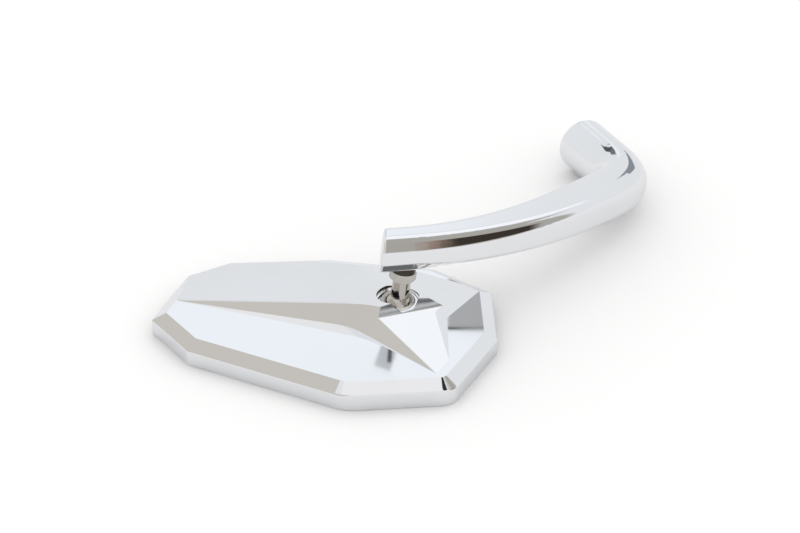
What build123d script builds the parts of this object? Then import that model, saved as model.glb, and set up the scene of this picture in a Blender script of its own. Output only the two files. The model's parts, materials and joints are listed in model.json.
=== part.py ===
from build123d import *
import math
import os

# Chrome motorcycle mirror: faceted head on a ball stud, carried by a bent arm.
# Millimetres. The origin is on the axis of the threaded socket in the arm's boss, at its first full turn.
# The mirror lies on the rim of its head, back up. +X runs along the head to its short end.

# Head outline, corner by corner from the long tip, seen from above with the ball at (0, 0)
front_corner = (-19.5, -50.2)
toe_corner = (20.7, -46.6)
head_outline = [
    (-95.0, -1.6),
    (-80.0, -21.5),
    front_corner,
    toe_corner,
    (38.0, -14.8),
    (36.8, 16.3),
    (14.8, 32.5),
    (-27.2, 39.5),
    (-67.1, 37.4),
    (-83.2, 28.3),
]
front_corner_radius = 16.0
toe_corner_radius = 8.0
rim_height = 7.0
chamfer_run = 5.0
chamfer_rise = 3.0
rim_edge_radius = 0.8
ridge_radius = 0.6
ridge_rise = 1.0
ridge_length = 20.0
shell_wall = 2.5
shoulder_share = 1.5

# Star on the back of the head: three spurs that run down from the hub to the deck
hub_height = 18.5
spur_left_tip = (-87.1, 7.6)
bend_foot = (-18.0, -9.8)
spur_front_tip = (14.4, -39.8)
spur_front_heel = (19.3, -38.1)
notch_foot = (19.0, -4.1)
spur_right_tip = (32.7, 14.8)
back_ridge = (-17.0, 27.0)
back_ridge_height = 13.4
far_edge_left = (-34.0, 34.6)
far_edge_right = (13.5, 27.8)
left_wall_angle = 61.0
front_wall_angle = 50.6
heel_wall_angle = 34.5
right_wall_angle = 43.4
bend_radius = 26.0
notch_radius = 4.0

# Step below the hub, and the sloping top of the front spur in front of it
step_left = (-6.6, -10.8)
step_right = (14.8, 1.3)
step_angle = 60.0
step_top = 18.2
wedge_left_height = 16.1
wedge_right = (13.9, -2.9)
wedge_right_height = 13.5

# Ball joint
ball_radius = 6.5
ball_height = 11.5
ball_flat = 5.8
neck_radius = 3.5
seat_thickness = 1.15
seat_clearance = 0.05
counterbore_radius = 8.2
counterbore_depth = 3.3
upper_seat_top_angle = 35.0
upper_seat_foot_angle = 4.0
lower_seat_top_angle = -10.0
lower_seat_foot_angle = -54.0
collar_sides = 6
collar_across_flats = 9.0
collar_height = 3.4
collar_chamfer = 0.5
stud_reach = 16.6
stud_thread_radius = 3.0
stud_thread_length = 12.0
stud_tip_chamfer = 0.6
stud_tip_gap = 1.0
thread_clearance = 0.05

# Clamp behind the ball
clamp_screw_count = 3
clamp_plate_thickness = 1.5
clamp_plate_top = 6.9
clamp_circle_radius = 14.0
clamp_first_angle = 90.0
socket_boss_radius = 11.5
pillar_radius = 3.2
pillar_cap = 1.0
screw_radius = 1.5
screw_length = 6.0
screw_head_radius = 2.7
screw_head_height = 1.6
screw_recess_length = 3.2
screw_recess_width = 0.8
screw_recess_depth = 0.8
washer_thickness = 0.7
washer_radius = 2.6
washer_slit = 0.8
hole_clearance = 0.1

# Glass
glass_thickness = 1.8
glass_radius = 1400.0
glass_low = 0.3
glass_middle = (-28.0, -5.0)
bezel_width = 2.2
glass_gap = 0.3
tape_thickness = 0.8
tape_width = 2.4
ledge_width = 3.0

# Arm, drawn in the plane that stands square to the stud, with the stud at (0, 0)
stud_lean_right = 7.5
stud_lean_back = 6.5
arm_pad_radius = 4.7
arm_pad_height = 3.3
arm_heel = 17.0
arm_end = -9.4
leg_heading = 22.4
leg_radius = 181.0
leg_length = 107.5
elbow_tangent = 22.0
elbow_pull = 0.4
boss_heading = 116.4
boss_length = 18.5
boss_radius = 11.1
boss_drop = 3.3
boss_edge_radius = 1.6
arm_width_stud = 15.9
arm_width_elbow = 18.7
arm_top_stud = 6.6
arm_top_elbow = 8.3
arm_foot = 6.2
upper_run_stud = 3.4
upper_run_elbow = 1.2
upper_rise_stud = 4.5
upper_rise_elbow = 3.2
lower_bevel = 1.8
skirt_drop = 1.0
skirt_rise = 2.2
skirt_length = 18.0
crown_round_stud = 4.4
crown_round_elbow = 3.4
edge_round_stud = 0.8
edge_round_elbow = 3.4
hem_round = 1.3
boss_round_share = 0.97
end_edge_radius = 0.6
socket_radius = 4.33
socket_depth = 16.0
socket_chamfer = 0.7
socket_thread_lead = 1.25
round_start = 78.0
arm_stations = 22

# Sizes that follow from the ones above
deck_height = rim_height + chamfer_rise
shoulder_rise = shoulder_share * chamfer_rise
shoulder_run = shoulder_share * chamfer_run
chamfer_taper = math.degrees(math.atan2(chamfer_run, chamfer_rise))
ledge_inset = bezel_width + ledge_width
seat_inner_radius = ball_radius + seat_clearance
seat_outer_radius = seat_inner_radius + seat_thickness
socket_sphere_radius = seat_outer_radius + seat_clearance
collar_foot = stud_reach - collar_height
collar_corner_radius = collar_across_flats / 2 / math.cos(math.pi / collar_sides)
arm_mid = stud_reach + arm_pad_height + skirt_drop + arm_foot
washer_top = clamp_plate_top - clamp_plate_thickness
washer_foot = washer_top - washer_thickness
pillar_top = washer_foot + screw_length + pillar_cap
boss_bevel = boss_radius * (1 - math.tan(math.pi / 8))
boss_round = boss_round_share * boss_radius
reach = 4 * leg_length

# The arm's middle line from the stud on: the long bend, the elbow and the boss
leg_tangent = Vector(1, 0).rotate(Axis.Z, leg_heading)
leg_turn = math.degrees(leg_length / leg_radius)
boss_tangent = Vector(1, 0).rotate(Axis.Z, boss_heading)
round_end = leg_length + 2 * elbow_tangent
with BuildLine() as arm_path:
    leg = JernArc((0, 0), leg_tangent, leg_radius, leg_turn)
    corner = (leg @ 1) + (leg % 1) * elbow_tangent
    elbow = Bezier(
        leg @ 1,
        corner - (leg % 1) * elbow_tangent * (1 - elbow_pull),
        corner - (leg % 1) * elbow_tangent * (1 - 2 * elbow_pull),
        corner + boss_tangent * elbow_tangent * (1 - 2 * elbow_pull),
        corner + boss_tangent * elbow_tangent * (1 - elbow_pull),
        corner + boss_tangent * elbow_tangent,
    )
    boss = Line(elbow @ 1, (elbow @ 1) + boss_tangent * boss_length / 2)

# Frames: the arm stands square to the leaning stud, the head lies flat, both share the ball's centre
stud_axis = Vector(0, 0, 1).rotate(Axis.Y, stud_lean_right).rotate(Axis.X, -stud_lean_back)
stud_side = (Vector(1, 0, 0) - stud_axis * stud_axis.X).normalized()
arm_turn = Plane(origin=(0, 0, 0), x_dir=stud_side, z_dir=stud_axis)
socket_mouth = (boss @ 1) + boss_tangent * boss_length / 2 + Vector(0, 0, arm_mid - boss_drop)
first_turn = socket_mouth - boss_tangent * socket_thread_lead
ball_centre = Vector(0, 0, 0) - arm_turn.from_local_coords(first_turn)
ARM = Plane(origin=ball_centre, x_dir=stud_side, z_dir=stud_axis)
STUD_HALF = Plane(origin=ball_centre, x_dir=stud_side, z_dir=stud_side.cross(stud_axis))
HEAD = Plane(origin=ball_centre - Vector(0, 0, ball_height))
HEAD_HALF = Plane(origin=ball_centre, x_dir=(1, 0, 0), z_dir=(0, -1, 0))
glass_centre = HEAD.origin + Vector(*glass_middle, glass_low + glass_radius)


def head_point(spot, height):
    """A point of the head from its place in plan and its height over the floor."""
    return HEAD.origin + Vector(*spot, height)


def roof(first, second, third):
    """The plane through three points of the head, facing up."""
    normal = (second - first).cross(third - first)
    return Plane(origin=first, x_dir=second - first, z_dir=normal * math.copysign(1, normal.Z))


def wall(start, end, height, angle):
    """A sloping wall over the line from start to end, facing to the right of it."""
    run = (Vector(*end) - Vector(*start)).normalized()
    tilt = math.radians(angle)
    facing = Vector(run.Y * math.sin(tilt), -run.X * math.sin(tilt), math.cos(tilt))
    return Plane(origin=head_point(start, height), x_dir=run, z_dir=facing)


def outline(height, inset):
    """The head's outline at a height, drawn in by an inset."""
    with BuildSketch(HEAD.offset(height)) as sketch:
        Polygon(*head_outline, align=None)
        fillet(sketch.vertices().sort_by_distance(front_corner)[0], front_corner_radius)
        fillet(sketch.vertices().sort_by_distance(toe_corner)[0], toe_corner_radius)
        if inset > 0:
            offset(amount=-inset, kind=Kind.INTERSECTION, mode=Mode.REPLACE)
    return sketch.sketch


def pocket(floor, walls, corner_radius):
    """The space over a floor and in front of two walls, with a rounded corner between the walls."""
    corner = walls[0].z_dir.cross(walls[1].z_dir)
    with BuildPart() as space:
        with BuildSketch(HEAD.offset(floor)):
            Rectangle(reach, reach)
        extrude(amount=reach / 2)
        for face in walls:
            split(bisect_by=face, keep=Keep.TOP)
        if corner_radius > 0:
            fillet(space.edges().filter_by(Axis((0, 0, 0), corner)), corner_radius)
    return space.part


def sky(inset):
    """All the space over the head's back, with the deck and the star drawn in by an inset."""
    hub = head_point((0, 0), hub_height)
    ridge = head_point(back_ridge, back_ridge_height)
    left_tip = head_point(spur_left_tip, deck_height)
    right_tip = head_point(spur_right_tip, deck_height)
    front_tip = head_point(spur_front_tip, deck_height)
    left_roof = roof(hub, left_tip, ridge)
    right_roof = roof(hub, right_tip, ridge)
    far_roof = roof(ridge, head_point(far_edge_left, deck_height), head_point(far_edge_right, deck_height))
    wedge_left = head_point(step_left, wedge_left_height)
    wedge = roof(front_tip, wedge_left, head_point(wedge_right, wedge_right_height))
    left_wall = wall(spur_left_tip, bend_foot, deck_height, left_wall_angle)
    front_wall = wall(bend_foot, spur_front_tip, deck_height, front_wall_angle)
    heel_wall = wall(spur_front_heel, notch_foot, deck_height, heel_wall_angle)
    right_wall = wall(notch_foot, spur_right_tip, deck_height, right_wall_angle)
    step = wall(step_left, step_right, step_top, step_angle)
    floor = deck_height - inset
    left_pocket = pocket(floor, [left_wall.offset(-inset), front_wall.offset(-inset)], bend_radius)
    right_pocket = pocket(floor, [heel_wall.offset(-inset), right_wall.offset(-inset)], notch_radius)
    front_step = pocket(floor, [wedge.offset(-inset), step.offset(-inset)], 0)
    with BuildPart() as star:
        with BuildSketch(HEAD.offset(floor)):
            Rectangle(reach, reach)
        extrude(amount=hub_height)
        for face in (left_roof, right_roof, far_roof):
            split(bisect_by=face.offset(-inset), keep=Keep.BOTTOM)
        add(left_pocket, mode=Mode.SUBTRACT)
        add(right_pocket, mode=Mode.SUBTRACT)
        add(front_step, mode=Mode.SUBTRACT)
    with BuildPart() as ground:
        with BuildSketch(HEAD):
            Rectangle(reach, reach)
        extrude(amount=floor)
        add(star.part)
        split(bisect_by=left_roof.offset(-inset), keep=Keep.BOTTOM)
    with BuildPart() as space:
        with BuildSketch(HEAD):
            Rectangle(reach / 2, reach / 2)
        extrude(amount=2 * hub_height)
        add(ground.part, mode=Mode.SUBTRACT)
    return space.part


def domed(inset, low_radius, high_radius):
    """A slab of the head's outline between two bowed surfaces of the glass."""
    with BuildPart() as slab:
        add(outline(0, inset))
        extrude(amount=deck_height)
        with Locations(glass_centre):
            Sphere(low_radius, mode=Mode.INTERSECT)
            Sphere(high_radius, mode=Mode.SUBTRACT)
    return slab.part


def ball_seat(foot_angle, top_angle):
    """A ring round the ball between two angles over its middle."""
    with BuildPart() as ring:
        with BuildSketch(HEAD_HALF):
            with BuildLine():
                inner = CenterArc((0, 0), seat_inner_radius, foot_angle, top_angle - foot_angle)
                outer = CenterArc((0, 0), seat_outer_radius, foot_angle, top_angle - foot_angle)
                Line(inner @ 0, outer @ 0)
                Line(inner @ 1, outer @ 1)
            make_face()
        revolve(axis=Axis(ball_centre, (0, 0, 1)))
    return ring.part


def between(first, last, share):
    """The value at a share of the way from first to last."""
    return first + (last - first) * share


def eased(value, start, end):
    """How far a value is on its way from start to end, slow at both ends."""
    share = min(max((value - start) / (end - start), 0), 1)
    return share * share * (3 - 2 * share)


def arm_section(share):
    """The arm's section at a share of its middle line: bevelled at the stud, round at the boss."""
    line = arm_path.wire()
    distance = share * line.length
    forward = ARM.from_local_coords(line % share) - ARM.origin
    growth = eased(distance, 0, leg_length)
    skirt = 1 - eased(distance, 0, skirt_length)
    roundness = eased(distance, round_start, round_end)
    side = between(between(arm_width_stud, arm_width_elbow, growth) / 2, boss_radius, roundness)
    top = between(between(arm_top_stud, arm_top_elbow, growth), boss_radius, roundness)
    foot = between(arm_foot + skirt_drop * skirt, boss_radius, roundness)
    upper_run = between(between(upper_run_stud, upper_run_elbow, growth), boss_bevel, roundness)
    upper_rise = between(between(upper_rise_stud, upper_rise_elbow, growth), boss_bevel, roundness)
    lower_run = between(lower_bevel, boss_bevel, roundness)
    lower_rise = between(lower_bevel + skirt_rise * skirt, boss_bevel, roundness)
    crown = between(between(crown_round_stud, crown_round_elbow, growth), boss_round, roundness)
    edge = between(between(edge_round_stud, edge_round_elbow, growth), boss_round, roundness)
    hem = between(hem_round, boss_round, roundness)
    spot = ARM.from_local_coords((line @ share) + Vector(0, 0, arm_mid - boss_drop * roundness))
    with BuildSketch(Plane(origin=spot, x_dir=stud_axis.cross(forward), z_dir=forward)) as section:
        with BuildLine():
            FilletPolyline(
                (side, top - upper_rise),
                (side - upper_run, top),
                (upper_run - side, top),
                (-side, top - upper_rise),
                (-side, lower_rise - foot),
                (lower_run - side, -foot),
                (side - lower_run, -foot),
                (side, lower_rise - foot),
                radius=(edge, crown, crown, edge, hem, hem, hem, hem),
                close=True,
            )
        make_face()
    return section.sketch


# Housing: rim, chamfer and star outside; hollow, ball socket, screw pillars and glass ledge inside
with BuildPart() as hollow:
    add(outline(0, ledge_inset))
    extrude(amount=hub_height)
    add(sky(shell_wall), mode=Mode.SUBTRACT)
    with BuildSketch(HEAD.offset(clamp_plate_top)):
        Circle(socket_boss_radius)
    extrude(amount=hub_height, mode=Mode.SUBTRACT)
    with BuildSketch(HEAD.offset(clamp_plate_top)):
        with PolarLocations(clamp_circle_radius, clamp_screw_count, clamp_first_angle):
            Circle(pillar_radius)
    extrude(amount=pillar_top - clamp_plate_top, mode=Mode.SUBTRACT)
glass_back_radius = glass_radius - glass_thickness
ledge_radius = glass_back_radius - tape_thickness
glass_recess = domed(bezel_width, glass_radius + rim_height, ledge_radius)
with BuildPart() as mirror_housing:
    add(outline(0, 0))
    extrude(amount=rim_height)
    add(outline(rim_height, 0))
    extrude(amount=shoulder_rise, taper=chamfer_taper)
    add(outline(rim_height + shoulder_rise, shoulder_run))
    extrude(amount=hub_height - rim_height)
    add(sky(0), mode=Mode.SUBTRACT)
    fillet(mirror_housing.faces().sort_by(Axis.Z)[0].edges(), rim_edge_radius)
    straight = mirror_housing.edges().filter_by(GeomType.LINE)
    ridge_level = HEAD.origin.Z + deck_height + ridge_rise
    raised = straight.filter_by_position(Axis.Z, ridge_level, ridge_level + hub_height)
    fillet([edge for edge in raised if edge.length > ridge_length], ridge_radius)
    shoulder = HEAD.origin.Z + rim_height
    fillet(mirror_housing.edges().filter_by_position(Axis.Z, shoulder, shoulder), rim_edge_radius)
    add(hollow.part, mode=Mode.SUBTRACT)
    add(glass_recess, mode=Mode.SUBTRACT)
    with BuildSketch(HEAD.offset(hub_height - counterbore_depth)):
        Circle(counterbore_radius)
    extrude(amount=hub_height, mode=Mode.SUBTRACT)
    with Locations(ball_centre):
        Sphere(socket_sphere_radius, mode=Mode.SUBTRACT)
    with BuildSketch(HEAD.offset(clamp_plate_top)):
        Circle(socket_sphere_radius)
    extrude(amount=ball_height - clamp_plate_top, mode=Mode.SUBTRACT)
    with BuildSketch(HEAD.offset(clamp_plate_top)):
        with PolarLocations(clamp_circle_radius, clamp_screw_count, clamp_first_angle):
            Circle(screw_radius + thread_clearance)
    extrude(amount=pillar_top - pillar_cap / 2 - clamp_plate_top, mode=Mode.SUBTRACT)
mirror_housing.part.label = "mirror_housing"

# Glass, bowed towards the floor, and the tape that bonds its edge to the ledge
with BuildPart() as mirror_glass:
    add(domed(bezel_width + glass_gap, glass_radius, glass_back_radius))
mirror_glass.part.label = "mirror_glass"

tape_inset = ledge_inset - tape_width
tape_hole = outline(0, ledge_inset)
with BuildPart() as glass_tape:
    add(domed(tape_inset, glass_back_radius, ledge_radius))
    add(tape_hole)
    extrude(amount=deck_height, mode=Mode.SUBTRACT)
glass_tape.part.label = "glass_tape"

# Ball stud: ball, neck and thread turned in one, with a hexagon collar that seats on the arm
flat_radius = math.sqrt(ball_radius**2 - ball_flat**2)
neck_foot = math.sqrt(ball_radius**2 - neck_radius**2)
thread_top = stud_reach + stud_thread_length
with BuildPart() as ball_stud:
    with BuildSketch(STUD_HALF):
        with BuildLine():
            Polyline(
                (0, collar_foot),
                (collar_corner_radius - collar_chamfer, collar_foot),
                (collar_corner_radius, collar_foot + collar_chamfer / 2),
                (collar_corner_radius, stud_reach - collar_chamfer / 2),
                (collar_corner_radius - collar_chamfer, stud_reach),
                (0, stud_reach),
                close=True,
            )
        make_face()
    revolve(axis=Axis(ball_centre, stud_axis))
    with BuildSketch(ARM.offset(collar_foot)):
        RegularPolygon(collar_corner_radius, collar_sides)
    extrude(amount=collar_height, mode=Mode.INTERSECT)
    with BuildSketch(STUD_HALF):
        with BuildLine():
            ball = ThreePointArc((flat_radius, -ball_flat), (ball_radius, 0), (neck_radius, neck_foot))
            Polyline(
                ball @ 1,
                (neck_radius, collar_foot + collar_chamfer),
                (stud_thread_radius, collar_foot + collar_chamfer),
                (stud_thread_radius, thread_top - stud_tip_chamfer),
                (stud_thread_radius - stud_tip_chamfer, thread_top),
                (0, thread_top),
                (0, -ball_flat),
                ball @ 0,
            )
        make_face()
    revolve(axis=Axis(ball_centre, stud_axis))
ball_stud.part.label = "ball_stud"

# Two plastic seats that hold the ball
with BuildPart() as upper_ball_seat:
    add(ball_seat(upper_seat_foot_angle, upper_seat_top_angle))
upper_ball_seat.part.label = "upper_ball_seat"

with BuildPart() as lower_ball_seat:
    add(ball_seat(lower_seat_foot_angle, lower_seat_top_angle))
lower_ball_seat.part.label = "lower_ball_seat"

# Clamp plate, its screws and their spring washers
with BuildPart() as clamp_plate:
    with BuildSketch(HEAD.offset(washer_top)):
        with PolarLocations(clamp_circle_radius, clamp_screw_count, clamp_first_angle):
            Circle(pillar_radius)
        make_hull()
        with PolarLocations(clamp_circle_radius, clamp_screw_count, clamp_first_angle):
            Circle(screw_radius + hole_clearance, mode=Mode.SUBTRACT)
    extrude(amount=clamp_plate_thickness)
    with Locations(ball_centre):
        Sphere(socket_sphere_radius, mode=Mode.SUBTRACT)
clamp_plate.part.label = "clamp_plate"

with BuildPart() as spring_washers:
    with BuildSketch(HEAD.offset(washer_foot)):
        with PolarLocations(clamp_circle_radius, clamp_screw_count, clamp_first_angle):
            Circle(washer_radius)
            Circle(screw_radius + hole_clearance, mode=Mode.SUBTRACT)
            Rectangle(washer_radius, washer_slit, align=(Align.MIN, Align.CENTER), mode=Mode.SUBTRACT)
    extrude(amount=washer_thickness)
spring_washers.part.label = "spring_washers"

with BuildPart() as clamp_screws:
    with BuildSketch(HEAD.offset(washer_foot)):
        with PolarLocations(clamp_circle_radius, clamp_screw_count, clamp_first_angle):
            Circle(screw_radius)
    extrude(amount=screw_length)
    with BuildSketch(HEAD.offset(washer_foot)):
        with PolarLocations(clamp_circle_radius, clamp_screw_count, clamp_first_angle):
            Circle(screw_head_radius)
    extrude(amount=-screw_head_height)
    with BuildSketch(HEAD.offset(washer_foot - screw_head_height)):
        with PolarLocations(clamp_circle_radius, clamp_screw_count, clamp_first_angle):
            Rectangle(screw_recess_length, screw_recess_width)
            Rectangle(screw_recess_width, screw_recess_length)
    extrude(amount=screw_recess_depth, mode=Mode.SUBTRACT)
clamp_screws.part.label = "clamp_screws"

# Arm: a straight heel over the stud, then bevelled sections that round off through the elbow into the boss
sections = [arm_section(station / arm_stations) for station in range(arm_stations + 1)]
boss_axis = ARM.from_local_coords(boss_tangent) - ARM.origin
end_cut = Plane(origin=ARM.from_local_coords(Vector(arm_end, 0, 0)), x_dir=stud_axis, z_dir=stud_side)
with BuildPart() as mirror_arm:
    loft(sections=sections)
    extrude(sections[0], amount=-arm_heel)
    extrude(sections[-1], amount=boss_length / 2)
    split(bisect_by=end_cut, keep=Keep.TOP)
    fillet(mirror_arm.faces().sort_by(Axis(ARM.origin, stud_side))[0].edges(), end_edge_radius)
    fillet(mirror_arm.faces().sort_by_distance((0, 0, 0))[0].edges(), boss_edge_radius)
    with BuildSketch(ARM.offset(stud_reach)):
        Circle(arm_pad_radius)
    extrude(amount=arm_pad_height + lower_bevel)
    with BuildSketch(ARM.offset(stud_reach)):
        Circle(stud_thread_radius + thread_clearance)
    extrude(amount=stud_thread_length + stud_tip_gap, mode=Mode.SUBTRACT)
    with BuildSketch(Plane(origin=boss_axis * socket_thread_lead, z_dir=boss_axis)):
        Circle(socket_radius)
    extrude(amount=-socket_depth, mode=Mode.SUBTRACT)
    chamfer(mirror_arm.edges().filter_by(GeomType.CIRCLE).sort_by_distance((0, 0, 0))[0], socket_chamfer)
mirror_arm.part.label = "mirror_arm"

os.makedirs("parts", exist_ok=True)
for piece in (
    mirror_housing,
    mirror_glass,
    glass_tape,
    ball_stud,
    upper_ball_seat,
    lower_ball_seat,
    clamp_plate,
    clamp_screws,
    spring_washers,
    mirror_arm,
):
    export_step(piece.part, f"parts/{piece.part.label}.step")
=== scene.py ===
"""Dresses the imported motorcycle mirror: bright chrome, satin nickel, nylon and glass in a white studio."""

import json
import logging
import math
from abc import ABC, abstractmethod
from dataclasses import dataclass, field
from enum import Enum

import bmesh
import bpy
from mathutils import Matrix, Vector


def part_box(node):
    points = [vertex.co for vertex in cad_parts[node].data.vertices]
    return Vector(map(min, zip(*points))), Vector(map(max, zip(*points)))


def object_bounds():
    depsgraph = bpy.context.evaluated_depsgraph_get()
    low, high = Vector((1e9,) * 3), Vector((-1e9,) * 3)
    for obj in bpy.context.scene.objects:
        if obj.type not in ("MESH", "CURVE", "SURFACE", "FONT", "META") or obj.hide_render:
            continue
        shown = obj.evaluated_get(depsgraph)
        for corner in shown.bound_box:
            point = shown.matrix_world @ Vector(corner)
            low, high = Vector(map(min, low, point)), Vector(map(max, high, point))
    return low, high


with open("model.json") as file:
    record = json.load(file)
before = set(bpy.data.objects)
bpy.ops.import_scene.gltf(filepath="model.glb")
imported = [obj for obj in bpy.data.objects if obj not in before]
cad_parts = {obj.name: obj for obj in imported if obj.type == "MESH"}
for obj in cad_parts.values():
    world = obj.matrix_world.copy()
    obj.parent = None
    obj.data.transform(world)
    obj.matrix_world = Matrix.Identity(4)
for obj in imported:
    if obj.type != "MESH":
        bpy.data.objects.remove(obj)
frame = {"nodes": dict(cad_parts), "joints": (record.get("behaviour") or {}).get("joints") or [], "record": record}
CAD_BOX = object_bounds()

MM = 0.001
RIGHT = Vector((1.0, 0.0, 0.0))
BACK = Vector((0.0, 1.0, 0.0))
UP = Vector((0.0, 0.0, 1.0))
UNIT = (0.0, 1.0)
FALL = (1.0, 0.0)
# The Mix node has several sockets of one name, so its colours are found by number.
MIX_COLOURS = (6, 7)
MIX_RESULT = 2
Colour = tuple[float, float, float]
Span = tuple[float, float]
Socket = bpy.types.NodeSocket
log = logging.getLogger("motorcycle_mirror")


class Slot(Enum):
    """The finishes of the mirror, by the record's material slots."""

    HOUSING = "housing_chrome"
    ARM = "arm_chrome"
    STUD = "stud_steel"
    SEAT = "seat_plastic"
    ZINC = "zinc_steel"
    GLASS = "mirror_glass"
    FOAM = "foam_tape"


def opaque(colour: Colour) -> tuple[float, float, float, float]:
    """The colour with full cover, as sockets take it."""
    return (*colour, 1.0)


class Wiring:
    """Adds nodes to one node tree and joins their sockets."""

    def __init__(self, tree: bpy.types.NodeTree) -> None:
        """Keeps the tree that is wired."""
        self.tree = tree

    def add(self, kind: str, **settings: object) -> bpy.types.Node:
        """Adds a node.

        Args:
            kind: The node's type name.
            settings: Properties of the node to set.

        Returns:
            The new node.
        """
        node = self.tree.nodes.new(kind)
        for name, value in settings.items():
            setattr(node, name, value)
        return node

    def join(self, source: Socket, target: Socket) -> None:
        """Joins an output to an input."""
        self.tree.links.new(source, target)

    def supply(self, target: Socket, value: Socket | Colour | Vector | float) -> None:
        """Gives an input its value.

        Args:
            target: The input.
            value: An output to join to it, or a plain colour, vector or number to set it to.
        """
        if isinstance(value, Socket):
            self.join(value, target)
        elif isinstance(value, tuple):
            target.default_value = opaque(value)
        else:
            target.default_value = value

    def range(self, source: Socket, start: Span, end: Span, smooth: bool = False) -> Socket:
        """Maps a value from one range to another and holds it there.

        Args:
            source: The value to map.
            start: The range that the value comes in.
            end: The range that it leaves in.
            smooth: Whether the ramp eases in and out.

        Returns:
            The mapped value.
        """
        node = self.add("ShaderNodeMapRange", interpolation_type="SMOOTHSTEP" if smooth else "LINEAR")
        for name, value in zip(("From Min", "From Max", "To Min", "To Max"), (*start, *end)):
            node.inputs[name].default_value = value
        self.join(source, node.inputs["Value"])
        return node.outputs["Result"]

    def blend(self, mask: Socket, base: Socket | Colour, top: Socket | Colour) -> Socket:
        """Lays a colour over another by a mask.

        Args:
            mask: Where the top colour shows.
            base: The colour below, as a socket or a plain colour.
            top: The colour laid over it, as a socket or a plain colour.

        Returns:
            The blended colour.
        """
        node = self.add("ShaderNodeMix", data_type="RGBA")
        self.join(mask, node.inputs["Factor"])
        for number, colour in zip(MIX_COLOURS, (base, top)):
            self.supply(node.inputs[number], colour)
        return node.outputs[MIX_RESULT]

    def math(self, operation: str, first: Socket, second: Socket | float = 0.0) -> Socket:
        """Works out one sum.

        Args:
            operation: The operation's name.
            first: The first value.
            second: The second value, as a socket or a number, for a sum that takes two.

        Returns:
            The result.
        """
        node = self.add("ShaderNodeMath", operation=operation)
        self.join(first, node.inputs[0])
        self.supply(node.inputs[1], second)
        return node.outputs[0]

    def vector(self, operation: str, output: str, first: Socket, second: Socket | Vector) -> Socket:
        """Works out one sum of vectors.

        Args:
            operation: The operation's name.
            output: The name of the result's socket.
            first: The first vector.
            second: The second vector, as a socket or a plain one.

        Returns:
            The result.
        """
        node = self.add("ShaderNodeVectorMath", operation=operation)
        self.join(first, node.inputs[0])
        self.supply(node.inputs[1], second)
        return node.outputs[output]

    def noise(self, vector: Socket, scale: Socket | float, detail: float, roughness: float = 0.5) -> Socket:
        """Adds a noise texture.

        Args:
            vector: Where the noise is read.
            scale: Waves of the noise over a metre.
            detail: Octaves of finer noise.
            roughness: How strong each finer octave is.

        Returns:
            The noise, from 0 to 1.
        """
        node = self.add("ShaderNodeTexNoise")
        node.inputs["Detail"].default_value = detail
        node.inputs["Roughness"].default_value = roughness
        self.join(vector, node.inputs["Vector"])
        self.supply(node.inputs["Scale"], scale)
        return node.outputs["Fac"]


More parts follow.
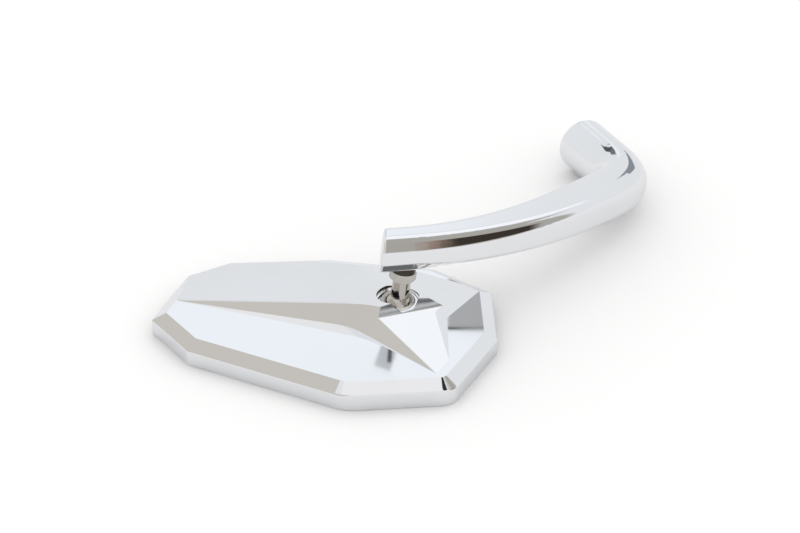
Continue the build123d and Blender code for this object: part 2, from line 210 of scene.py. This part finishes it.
class SurfaceGroups:
    """The node groups that are placed more than once."""

    PATTERN = {"Vector": "NodeSocketVector", "Scale": "NodeSocketFloat"}
    RIPPLE_DETAIL = 1.0
    RIPPLE_ROUGHNESS = 0.35
    FILM_DETAIL = 5.0
    FILM_SPREAD = (0.42, 0.72)
    PATCH_LEAST_DEPTH = 0.02
    PATCH_EDGE = (-0.5, 0.5)

    def __init__(self) -> None:
        """Builds each group once."""
        self.ripple = self._ripple()
        self.film = self._film()
        self.room_patch = self._room_patch()

    def _start(self, name: str, inputs: dict[str, str], outputs: dict[str, str]) -> tuple[Wiring, dict, dict]:
        """Starts a node group with named sockets.

        Args:
            name: The group's name.
            inputs: Socket types by input name.
            outputs: Socket types by output name.

        Returns:
            The group's wiring, the sockets that bring values in, and those that take them out.
        """
        tree = bpy.data.node_groups.new(name, "ShaderNodeTree")
        for direction, sockets in (("INPUT", inputs), ("OUTPUT", outputs)):
            for socket, kind in sockets.items():
                tree.interface.new_socket(socket, in_out=direction, socket_type=kind)
        wiring = Wiring(tree)
        entry = wiring.add("NodeGroupInput")
        leave = wiring.add("NodeGroupOutput")
        return wiring, entry.outputs, leave.inputs

    def _ripple(self) -> bpy.types.NodeTree:
        """Builds the faint waves that polishing leaves under plating.

        Returns:
            A group that puts out a height.
        """
        wiring, entry, leave = self._start("polish_ripple", self.PATTERN, {"Height": "NodeSocketFloat"})
        height = wiring.noise(entry["Vector"], entry["Scale"], self.RIPPLE_DETAIL, self.RIPPLE_ROUGHNESS)
        wiring.join(height, leave["Height"])
        return wiring.tree

    def _film(self) -> bpy.types.NodeTree:
        """Builds the thin uneven film of handling on a clean surface.

        Returns:
            A group that puts out a mask.
        """
        wiring, entry, leave = self._start("handling_film", self.PATTERN, {"Mask": "NodeSocketFloat"})
        cloud = wiring.noise(entry["Vector"], entry["Scale"], self.FILM_DETAIL)
        wiring.join(wiring.range(cloud, self.FILM_SPREAD, UNIT, smooth=True), leave["Mask"])
        return wiring.tree

    def _room_patch(self) -> bpy.types.NodeTree:
        """Builds a soft-edged rectangle of the room.

        Returns:
            A group that puts out a mask over directions.
        """
        vectors = {"Direction": "NodeSocketVector", "Facing": "NodeSocketVector",
                   "Across": "NodeSocketVector", "Upward": "NodeSocketVector"}
        sizes = {"Half Width": "NodeSocketFloat", "Half Height": "NodeSocketFloat", "Softness": "NodeSocketFloat"}
        wiring, entry, leave = self._start("room_patch", vectors | sizes, {"Mask": "NodeSocketFloat"})
        depth = wiring.vector("DOT_PRODUCT", "Value", entry["Direction"], entry["Facing"])
        mask = wiring.math("GREATER_THAN", depth, self.PATCH_LEAST_DEPTH)
        for side, half in (("Across", "Half Width"), ("Upward", "Half Height")):
            offset = wiring.vector("DOT_PRODUCT", "Value", entry["Direction"], entry[side])
            spread = wiring.math("DIVIDE", offset, depth)
            inside = wiring.math("SUBTRACT", entry[half], wiring.math("ABSOLUTE", spread))
            share = wiring.math("DIVIDE", inside, entry["Softness"])
            mask = wiring.math("MULTIPLY", mask, wiring.range(share, self.PATCH_EDGE, UNIT, smooth=True))
        wiring.join(mask, leave["Mask"])
        return wiring.tree


class Surface(Wiring):
    """The wiring of one material, with its surface shader and the shared groups at hand."""

    def __init__(self, tree: bpy.types.NodeTree, groups: SurfaceGroups) -> None:
        """Finds the shader and the object's own coordinates.

        Args:
            tree: The material's node tree.
            groups: The shared node groups.
        """
        super().__init__(tree)
        self.groups = groups
        self.shader = tree.nodes["Principled BSDF"]
        self.spot = self.add("ShaderNodeTexCoord").outputs["Object"]

    def feed(self, name: str, source: Socket) -> None:
        """Joins an output to the shader's input of that name."""
        self.join(source, self.shader.inputs[name])

    def make_metal(self) -> None:
        """Makes the surface bare metal."""
        self.shader.inputs["Metallic"].default_value = 1.0

    def ripple(self, scale: float) -> Socket:
        """The waves that polishing leaves, so many over a metre, as a height."""
        return self._group(self.groups.ripple, scale)

    def film(self, scale: float) -> Socket:
        """The film of handling, so many clouds over a metre, as a mask."""
        return self._group(self.groups.film, scale)

    def _group(self, tree: bpy.types.NodeTree, scale: float) -> Socket:
        """Places a shared group.

        Args:
            tree: The shared group.
            scale: Waves of the pattern over a metre.

        Returns:
            The group's first output.
        """
        node = self.add("ShaderNodeGroup", node_tree=tree)
        node.inputs["Scale"].default_value = scale
        self.join(self.spot, node.inputs["Vector"])
        return node.outputs[0]

    def emboss(self, height: Socket, depth: float) -> None:
        """Raises the surface by a height.

        Args:
            height: The height, from 0 to 1.
            depth: How far 1 stands up, in metres.
        """
        bump = self.add("ShaderNodeBump")
        bump.inputs["Strength"].default_value = 1.0
        bump.inputs["Distance"].default_value = depth
        self.join(height, bump.inputs["Height"])
        self.feed("Normal", bump.outputs["Normal"])


@dataclass(frozen=True)
class Finish(ABC):
    """A finish of the mirror, which becomes one material."""

    slot: Slot

    def material(self, groups: SurfaceGroups) -> bpy.types.Material:
        """Makes the material.

        Args:
            groups: The shared node groups.

        Returns:
            The finished material.
        """
        material = bpy.data.materials.new(self.slot.value)
        material.use_nodes = True
        self.wire(Surface(material.node_tree, groups))
        return material

    @abstractmethod
    def wire(self, surface: Surface) -> None:
        """Wires the material's surface."""


@dataclass(frozen=True)
class Recess:
    """A round place on an axis with a colour of its own, with a thread or without. It serves for a bare thread
    that the plating hardly reaches and for painted shade in a recess.
    """

    centre: Vector
    axis: Vector
    radius: float
    reach: Span
    colour: Colour
    gloss: float = 0.4
    thread_pitch: float = 0.0
    thread_depth: float = 0.35 * MM
    edge_width: float = 0.06 * MM

    def masks(self, surface: Surface) -> tuple[Socket, Socket]:
        """Finds the recess on a surface.

        Args:
            surface: The surface that it is in.

        Returns:
            The distance along the recess's axis, and a mask of its surface.
        """
        offset = surface.vector("SUBTRACT", "Vector", surface.spot, self.centre)
        along = surface.vector("DOT_PRODUCT", "Value", offset, self.axis)
        shadow = surface.vector("PROJECT", "Vector", offset, self.axis)
        outward = surface.vector("DISTANCE", "Value", offset, shadow)
        mask = surface.range(outward, (self.radius, self.radius + self.edge_width), FALL)
        start, end = self.reach
        entry = surface.range(along, (start - self.edge_width, start), UNIT)
        leave = surface.range(along, (end, end + self.edge_width), FALL)
        for share in (entry, leave):
            mask = surface.math("MULTIPLY", mask, share)
        return along, mask


@dataclass(frozen=True)
class ChromePlate(Finish):
    """Bright chrome over a polished die casting, with recesses laid over it: a bare thread and painted shade."""

    recesses: tuple[Recess, ...]
    clean: Colour = (0.95, 0.953, 0.958)
    hazed: Colour = (0.93, 0.931, 0.934)
    gloss: Span = (0.015, 0.035)
    ripple_scale: float = 55.0
    ripple_depth: float = 0.008 * MM
    film_scale: float = 26.0

    def wire(self, surface: Surface) -> None:
        """Wires the plating, its film and its recesses: a bare thread and painted shade.

        Args:
            surface: The material's surface.
        """
        film = surface.film(self.film_scale)
        colour = surface.blend(film, self.clean, self.hazed)
        rough = surface.range(film, UNIT, self.gloss)
        height = surface.ripple(self.ripple_scale)
        for recess in self.recesses:
            along, mask = recess.masks(surface)
            # Each recess lays its colour over the chrome: painted shade in the housing's well and on the arm's
            # pad, the bare thread's grey in the socket.
            colour = surface.blend(mask, colour, recess.colour)
            rough = surface.math("MAXIMUM", rough, surface.range(mask, UNIT, (0.0, recess.gloss)))
            if recess.thread_pitch > 0.0:
                flank = recess.thread_pitch / 2
                turns = surface.math("PINGPONG", along, flank)
                groove = surface.range(turns, (0.0, flank), (0.0, recess.thread_depth / self.ripple_depth))
                height = surface.math("ADD", height, surface.math("MULTIPLY", groove, mask))
        surface.make_metal()
        surface.feed("Base Color", colour)
        surface.feed("Roughness", rough)
        surface.emboss(height, self.ripple_depth)


@dataclass(frozen=True)
class TurnedNickel(Finish):
    """Satin nickel on turned steel, with fine rings round the stud."""

    axis: Vector
    bright: Colour = (0.6, 0.565, 0.52)
    dull: Colour = (0.54, 0.505, 0.46)
    gloss: Span = (0.09, 0.15)
    ring_scale: float = 2600.0
    ring_detail: float = 2.0
    ring_spread: Span = (0.3, 0.7)
    ring_depth: float = 0.004 * MM
    film_scale: float = 140.0

    def wire(self, surface: Surface) -> None:
        """Wires the rings along the stud's axis, and the film over them.

        Args:
            surface: The material's surface.
        """
        along = surface.vector("DOT_PRODUCT", "Value", surface.spot, self.axis)
        noise = surface.add("ShaderNodeTexNoise", noise_dimensions="1D")
        noise.inputs["Scale"].default_value = self.ring_scale
        noise.inputs["Detail"].default_value = self.ring_detail
        surface.join(along, noise.inputs["W"])
        rings = noise.outputs["Fac"]
        surface.make_metal()
        surface.feed("Base Color", surface.blend(surface.film(self.film_scale), self.bright, self.dull))
        surface.feed("Roughness", surface.range(rings, self.ring_spread, self.gloss))
        surface.emboss(rings, self.ring_depth)


@dataclass(frozen=True)
class MouldedNylon(Finish):
    """Natural nylon with a slightly uneven moulded skin."""

    pale: Colour = (0.86, 0.85, 0.81)
    deep: Colour = (0.78, 0.76, 0.7)
    gloss: Span = (0.38, 0.52)
    film_scale: float = 220.0
    grain_scale: float = 1400.0
    grain_detail: float = 2.0
    grain_depth: float = 0.01 * MM

    def wire(self, surface: Surface) -> None:
        """Wires the moulded skin and its fine grain.

        Args:
            surface: The material's surface.
        """
        film = surface.film(self.film_scale)
        surface.feed("Base Color", surface.blend(film, self.pale, self.deep))
        surface.feed("Roughness", surface.range(film, UNIT, self.gloss))
        surface.emboss(surface.noise(surface.spot, self.grain_scale, self.grain_detail), self.grain_depth)


@dataclass(frozen=True)
class ZincPlate(Finish):
    """Bright zinc with the patchy tint of a passivated layer."""

    blue: Colour = (0.64, 0.67, 0.72)
    straw: Colour = (0.7, 0.67, 0.58)
    gloss: Span = (0.26, 0.4)
    film_scale: float = 260.0
    ripple_scale: float = 700.0
    ripple_depth: float = 0.02 * MM

    def wire(self, surface: Surface) -> None:
        """Wires the patchy tint over a slightly uneven metal.

        Args:
            surface: The material's surface.
        """
        film = surface.film(self.film_scale)
        surface.make_metal()
        surface.feed("Base Color", surface.blend(film, self.blue, self.straw))
        surface.feed("Roughness", surface.range(film, UNIT, self.gloss))
        surface.emboss(surface.ripple(self.ripple_scale), self.ripple_depth)


@dataclass(frozen=True)
class SilveredGlass(Finish):
    """Silvered mirror glass with a ground edge."""

    silver: Colour = (0.82, 0.845, 0.86)
    smeared: Colour = (0.78, 0.8, 0.81)
    ground: Colour = (0.42, 0.52, 0.49)
    gloss: Span = (0.006, 0.03)
    ground_gloss: float = 0.5
    film_scale: float = 18.0
    edge_lean: Span = (0.8, 0.4)

    def wire(self, surface: Surface) -> None:
        """Wires the smeared silver, and the ground edge where the surface stands upright.

        Args:
            surface: The material's surface.
        """
        film = surface.film(self.film_scale)
        facing = surface.add("ShaderNodeSeparateXYZ")
        surface.join(surface.add("ShaderNodeTexCoord").outputs["Normal"], facing.inputs["Vector"])
        edge = surface.range(surface.math("ABSOLUTE", facing.outputs["Z"]), self.edge_lean, UNIT)
        face = surface.blend(film, self.silver, self.smeared)
        haze = surface.range(film, UNIT, self.gloss)
        grinding = surface.range(edge, UNIT, (0.0, self.ground_gloss))
        surface.make_metal()
        surface.feed("Base Color", surface.blend(edge, face, self.ground))
        surface.feed("Roughness", surface.math("MAXIMUM", haze, grinding))


@dataclass(frozen=True)
class ClosedFoam(Finish):
    """Black closed-cell foam with fine pores."""

    dark: Colour = (0.018, 0.018, 0.018)
    dusty: Colour = (0.06, 0.058, 0.055)
    gloss: Span = (0.75, 0.92)
    film_scale: float = 90.0
    pore_scale: float = 2200.0
    pore_detail: float = 1.0
    pore_depth: float = 0.08 * MM

    def wire(self, surface: Surface) -> None:
        """Wires the dusty foam and its pores.

        Args:
            surface: The material's surface.
        """
        film = surface.film(self.film_scale)
        surface.feed("Base Color", surface.blend(film, self.dark, self.dusty))
        surface.feed("Roughness", surface.range(film, UNIT, self.gloss))
        surface.emboss(surface.noise(surface.spot, self.pore_scale, self.pore_detail), self.pore_depth)


class FinishBook:
    """The finished materials by slot, and the way they go on pieces."""

    def __init__(self, finishes: list[Finish], groups: SurfaceGroups) -> None:
        """Makes each finish once."""
        self.materials = {finish.slot: finish.material(groups) for finish in finishes}

    def dress(self, node: str, slot: Slot) -> None:
        """Puts a finish on a node of the frame.

        Args:
            node: The node's name.
            slot: The finish it takes.
        """
        mesh = frame["nodes"][node].data
        mesh.materials.clear()
        mesh.materials.append(self.materials[slot])
        log.info("dressed %s in %s", node, slot.value)


@dataclass
class SubAssembly:
    """Pieces that belong together, and the finish that each takes."""

    dress_plan: dict[str, Slot]

    def dress(self, book: FinishBook) -> None:
        """Puts its finish on each piece."""
        for node, slot in self.dress_plan.items():
            book.dress(node, slot)


@dataclass
class MirrorHead(SubAssembly):
    """The faceted housing with its glass and the tape that holds it."""

    dress_plan: dict[str, Slot] = field(default_factory=lambda: {
        "mirror_housing": Slot.HOUSING,
        "mirror_glass": Slot.GLASS,
        "glass_tape": Slot.FOAM,
    })
    well_radius: float = 8.22 * MM
    well_height: float = 20.0 * MM
    # Painted shade: the well round the ball is coloured near black where its chrome lies in shade.
    well_painted_shade: Colour = (0.05, 0.048, 0.046)

    def chrome(self) -> ChromePlate:
        """Works out the housing's finish.

        Returns:
            Chrome with painted shade in the well over the ball, above the seat.
        """
        low, high = (Vector(corner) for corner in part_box("upper_ball_seat"))
        seat_top = (high.z - low.z) / 2
        # Painted shade in the well, from the seat's top up to the well's height.
        well = Recess((low + high) / 2, UP, self.well_radius, (seat_top, self.well_height), self.well_painted_shade)
        return ChromePlate(Slot.HOUSING, (well,))


@dataclass
class BallJoint(SubAssembly):
    """The ball stud between its seats, and the clamp behind them."""

    dress_plan: dict[str, Slot] = field(default_factory=lambda: {
        "ball_stud": Slot.STUD,
        "upper_ball_seat": Slot.SEAT,
        "lower_ball_seat": Slot.SEAT,
        "clamp_plate": Slot.ZINC,
        "clamp_screws": Slot.ZINC,
        "spring_washers": Slot.ZINC,
    })

    @property
    def axis(self) -> Vector:
        """The stud's axis, from the joint that turns about it."""
        return Vector(frame["joints"][0]["axis"]).normalized()

    @property
    def centre(self) -> Vector:
        """The ball's centre, from the same joint."""
        return Vector(frame["joints"][0]["pos_m"])


@dataclass
class MirrorArm(SubAssembly):
    """The bent arm with its threaded boss."""

    dress_plan: dict[str, Slot] = field(default_factory=lambda: {"mirror_arm": Slot.ARM})
    thread_pitch: float = 1.25 * MM
    thread_colour: Colour = (0.5, 0.49, 0.48)
    thread_gloss: float = 0.28
    pad_radius: float = 4.75 * MM
    pad_reach: Span = (16.6 * MM, 21.0 * MM)
    # Painted shade: the arm's pad over the stud is coloured dark brown where it lies in shade.
    pad_painted_shade: Colour = (0.075, 0.062, 0.052)
    pad_gloss: float = 0.3

    def chrome(self, joint: BallJoint) -> ChromePlate:
        """Works out the arm's finish.

        Args:
            joint: The ball joint whose stud the arm's pad takes.

        Returns:
            Chrome with the turns of the thread in the socket, and painted shade on the pad round the stud.
        """
        mount = frame["record"]["mounts"][0]
        radius = mount["dims"]["r_mm"] * MM
        depth = mount["dims"]["length_mm"] * MM
        socket = Recess(Vector(mount["pos_m"]), Vector(mount["axis"]), radius, (-depth, depth),
                        self.thread_colour, self.thread_gloss, self.thread_pitch)
        # Painted shade on the pad round the stud; the socket keeps the bare thread's grey.
        pad = Recess(joint.centre, joint.axis, self.pad_radius, self.pad_reach, self.pad_painted_shade, self.pad_gloss)
        return ChromePlate(Slot.ARM, (socket, pad))


@dataclass(frozen=True)
class RoomPatch:
    """A rectangle of the room that the chrome mirrors, by where it stands and how large it looks.

    All are degrees. Bearings run to the right from straight behind the object, seen from above.
    """

    name: str
    bearing: float
    elevation: float
    half_width: float
    half_height: float
    softness: float
    colour: Colour
    roll: float = 0.0

    @property
    def axes(self) -> tuple[Vector, Vector, Vector]:
        """Works out how it stands.

        Returns:
            The directions to its middle, along its width and along its height.
        """
        turn = (Matrix.Rotation(math.radians(-self.bearing), 3, "Z")
                @ Matrix.Rotation(math.radians(self.elevation), 3, "X")
                @ Matrix.Rotation(math.radians(self.roll), 3, "Y"))
        return turn @ BACK, turn @ RIGHT, turn @ UP


@dataclass
class Studio:
    """The white table, the room that the chrome mirrors, the lamp and the camera."""

    floor_half: float = 6.0
    floor_colour: Colour = (0.995, 0.988, 0.985)
    floor_mirrored: Colour = (0.79, 0.795, 0.81)
    floor_roughness: float = 0.9
    room_light: Colour = (0.94, 0.94, 0.94)
    room_shade: Colour = (0.02, 0.018, 0.018)
    room_walls: Colour = (0.775, 0.793, 0.82)
    not_mirrored: tuple[str, ...] = ("mirror_arm", "ball_stud")
    lamp_height: float = 1.4
    lamp_size: float = 1.6
    lamp_watts: float = 2.4
    camera_place: tuple[float, float, float] = (-0.07815, -0.85581, 0.52436)
    camera_pitch: float = 55.5
    camera_lens: float = 105.3
    patches: list[RoomPatch] = field(default_factory=lambda: [
        RoomPatch("soft box", 28.5, 47.0, 17.6, 13.0, 5.0, (0.94, 0.965, 1.0)),
        RoomPatch("window", -3.0, 36.6, 4.9, 2.6, 1.2, (0.875, 0.915, 0.965)),
        RoomPatch("window glow", 5.5, 20.0, 2.8, 4.0, 4.0, (0.87, 0.91, 0.965)),
        RoomPatch("ceiling", 0.0, 88.0, 17.0, 17.0, 6.0, (0.86, 0.86, 0.87)),
        RoomPatch("beige wall", -112.0, 34.0, 41.5, 33.3, 1.5, (0.575, 0.55, 0.515)),
        RoomPatch("brown cabinet", 94.0, 50.0, 21.0, 14.0, 8.0, (0.4, 0.385, 0.36)),
        RoomPatch("cabinet side", 107.0, 21.0, 16.4, 19.0, 5.0, (0.4, 0.385, 0.36)),
        RoomPatch("red box", 114.5, 34.3, 3.0, 2.5, 4.0, (0.3, 0.22, 0.18)),
        RoomPatch("dark door", 106.3, 25.0, 4.0, 11.5, 6.0, (0.042, 0.034, 0.027), 34.0),
        RoomPatch("pale lamp", 90.0, 63.5, 3.0, 3.5, 2.0, (0.56, 0.55, 0.55)),
        RoomPatch("dark lamp", 112.0, 73.0, 3.8, 3.8, 1.0, (0.03, 0.03, 0.032)),
        RoomPatch("dark fitting", 115.5, 49.4, 0.9, 0.9, 0.8, (0.14, 0.145, 0.145)),
        RoomPatch("grey frame", 125.0, 19.0, 4.0, 4.0, 3.0, (0.33, 0.34, 0.35)),
        RoomPatch("frame panel", 125.25, 18.78, 1.6, 0.35, 0.3, (0.56, 0.57, 0.58), -17.5),
        RoomPatch("panel shade", 125.32, 18.9, 1.5, 0.06, 0.04, (0.075, 0.08, 0.085), -17.5),
        RoomPatch("panel line", 125.16, 18.67, 1.5, 0.025, 0.03, (0.16, 0.165, 0.17), -17.5),
        RoomPatch("hanging cloth", -8.9, 28.0, 11.6, 3.1, 1.0, (0.09, 0.095, 0.105), 29.0),
        RoomPatch("cloth fold", -3.8, 23.4, 6.1, 3.3, 1.0, (0.17, 0.18, 0.195), 10.0),
        RoomPatch("chair back", 21.9, 13.9, 7.1, 4.3, 0.8, (0.25, 0.275, 0.305)),
        RoomPatch("grey card", 2.6, 35.2, 0.95, 0.85, 0.15, (0.4, 0.41, 0.42)),
        RoomPatch("card edge", 2.6, 36.0, 0.95, 0.035, 0.05, (0.03, 0.03, 0.03)),
        RoomPatch("grey tag", -0.42, 36.7, 0.2, 0.33, 0.08, (0.5, 0.52, 0.545), -20.0),
        RoomPatch("tag edge", -0.3, 36.68, 0.05, 0.17, 0.05, (0.06, 0.06, 0.065), -10.0),
    ])

    def build(self, groups: SurfaceGroups) -> None:
        """Sets up the floor, the room, the lamp and the camera.

        Args:
            groups: The shared node groups.
        """
        self._floor()
        self._room(groups)
        self._lamp()
        self._camera()
        bpy.context.scene.view_settings.view_transform = "Standard"

    def _floor(self) -> None:
        """Lays the white table under the object."""
        height = CAD_BOX[0].z
        mesh = bpy.data.meshes.new("table")
        sheet = bmesh.new()
        bmesh.ops.create_grid(sheet, x_segments=1, y_segments=1, size=self.floor_half,
                              matrix=Matrix.Translation((0.0, 0.0, height)))
        sheet.to_mesh(mesh)
        sheet.free()
        table = bpy.data.objects.new("table", mesh)
        bpy.context.scene.collection.objects.link(table)
        material = bpy.data.materials.new("white_table")
        material.use_nodes = True
        shader = material.node_tree.nodes["Principled BSDF"]
        wiring = Wiring(material.node_tree)
        mirrored = wiring.add("ShaderNodeLightPath").outputs["Is Glossy Ray"]
        wiring.join(wiring.blend(mirrored, self.floor_colour, self.floor_mirrored), shader.inputs["Base Color"])
        shader.inputs["Roughness"].default_value = self.floor_roughness
        shader.inputs["Specular IOR Level"].default_value = 0.0
        mesh.materials.append(material)

    def _room(self, groups: SurfaceGroups) -> None:
        """Lights the room evenly, and paints what the chrome mirrors of it by direction.

        Args:
            groups: The shared node groups.
        """
        world = bpy.data.worlds.new("studio_room")
        world.use_nodes = True
        bpy.context.scene.world = world
        wiring = Wiring(world.node_tree)
        direction = wiring.add("ShaderNodeTexCoord").outputs["Generated"]
        colour: Socket | Colour = self.room_walls
        for patch in self.patches:
            node = wiring.add("ShaderNodeGroup", node_tree=groups.room_patch, label=patch.name)
            wiring.join(direction, node.inputs["Direction"])
            for name, axis in zip(("Facing", "Across", "Upward"), patch.axes):
                node.inputs[name].default_value = axis
            sizes = {"Half Width": patch.half_width, "Half Height": patch.half_height, "Softness": patch.softness}
            for name, degrees in sizes.items():
                node.inputs[name].default_value = math.tan(math.radians(degrees))
            colour = wiring.blend(node.outputs["Mask"], colour, patch.colour)
        path = wiring.add("ShaderNodeLightPath").outputs
        colour = wiring.blend(path["Diffuse Depth"], colour, self.room_shade)
        colour = wiring.blend(path["Is Glossy Ray"], self.room_light, colour)
        wiring.join(colour, world.node_tree.nodes["Background"].inputs["Color"])
        for node in self.not_mirrored:
            frame["nodes"][node].visible_glossy = False

    def _lamp(self) -> None:
        """Hangs one large soft lamp over the table."""
        light = bpy.data.lights.new("soft_box", "AREA")
        light.shape = "DISK"
        light.size = self.lamp_size
        light.energy = self.lamp_watts
        lamp = bpy.data.objects.new("soft_box", light)
        middle = (CAD_BOX[0] + CAD_BOX[1]) / 2
        lamp.location = (middle.x, middle.y, self.lamp_height)
        lamp.visible_glossy = False
        bpy.context.scene.collection.objects.link(lamp)

    def _camera(self) -> None:
        """Stands the camera where the photograph was taken from."""
        lens = bpy.data.cameras.new("camera")
        lens.lens = self.camera_lens
        lens.sensor_fit = "HORIZONTAL"
        camera = bpy.data.objects.new("camera", lens)
        camera.location = self.camera_place
        camera.rotation_euler = (math.radians(self.camera_pitch), 0.0, 0.0)
        bpy.context.scene.collection.objects.link(camera)
        bpy.context.scene.camera = camera


def main() -> None:
    """Builds the finishes, dresses the sub-assemblies in order and sets the stage."""
    logging.basicConfig(level=logging.INFO, format="%(name)s: %(message)s")
    head = MirrorHead()
    joint = BallJoint()
    arm = MirrorArm()
    groups = SurfaceGroups()
    book = FinishBook([
        head.chrome(),
        arm.chrome(joint),
        TurnedNickel(Slot.STUD, joint.axis),
        MouldedNylon(Slot.SEAT),
        ZincPlate(Slot.ZINC),
        SilveredGlass(Slot.GLASS),
        ClosedFoam(Slot.FOAM),
    ], groups)
    for part in (head, joint, arm):
        part.dress(book)
    Studio().build(groups)


if __name__ == "__main__":
    main()
